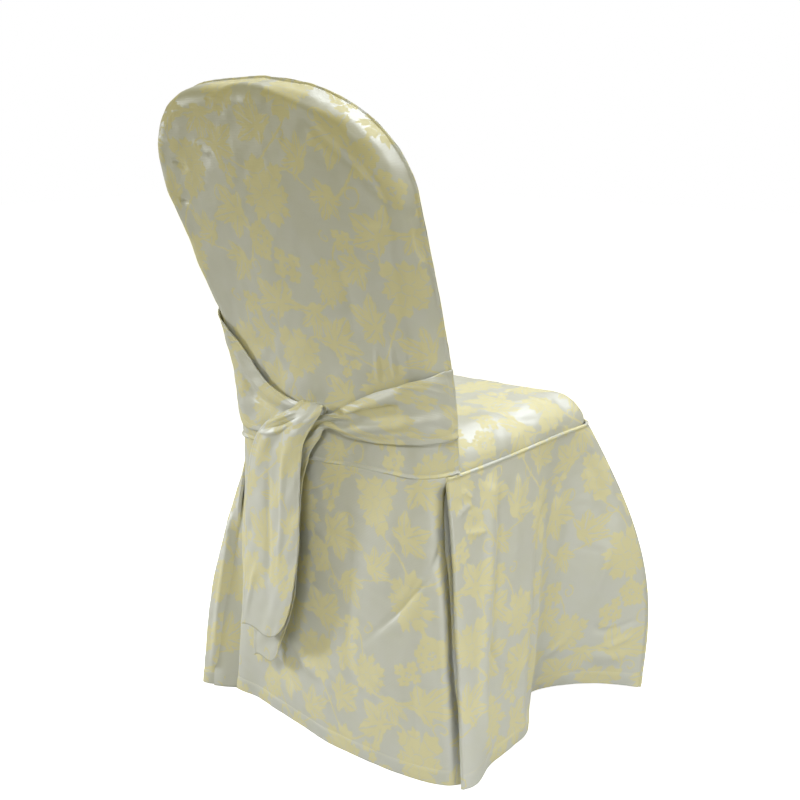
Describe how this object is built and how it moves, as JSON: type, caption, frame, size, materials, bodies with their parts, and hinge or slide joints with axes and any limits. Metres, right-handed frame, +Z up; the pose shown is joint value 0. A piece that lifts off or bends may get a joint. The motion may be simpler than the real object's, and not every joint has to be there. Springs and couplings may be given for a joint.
{
  "type": "chair cover",
  "caption": "Fitted full-length chair cover of floral damask, with a round-topped back, flared skirts, corner pleats and a sash knotted low behind the back.",
  "frame": {"origin": "on the floor, at the middle of the cover's footprint", "axes": "+Z up; the seated person faces -Y and the back leans towards +Y; +X is the sitter's left"},
  "size_m": [0.5996, 0.6311, 0.9993],
  "materials": {
    "back_damask": "satin damask, matte pale-yellow flowers on a silvery ground",
    "skirt_damask": "satin damask, matte pale-yellow flowers on a silvery ground"
  },
  "bodies": {
    "root": {"outside_back": "back_damask", "inside_back": "back_damask", "tie_left": "back_damask", "tie_right": "back_damask", "seat_top": "skirt_damask", "skirt_back": "skirt_damask", "skirt_right": "skirt_damask", "skirt_left": "skirt_damask", "skirt_front": "skirt_damask", "pleat_right": "skirt_damask", "pleat_left": "skirt_damask"}
  },
  "joints": []
}
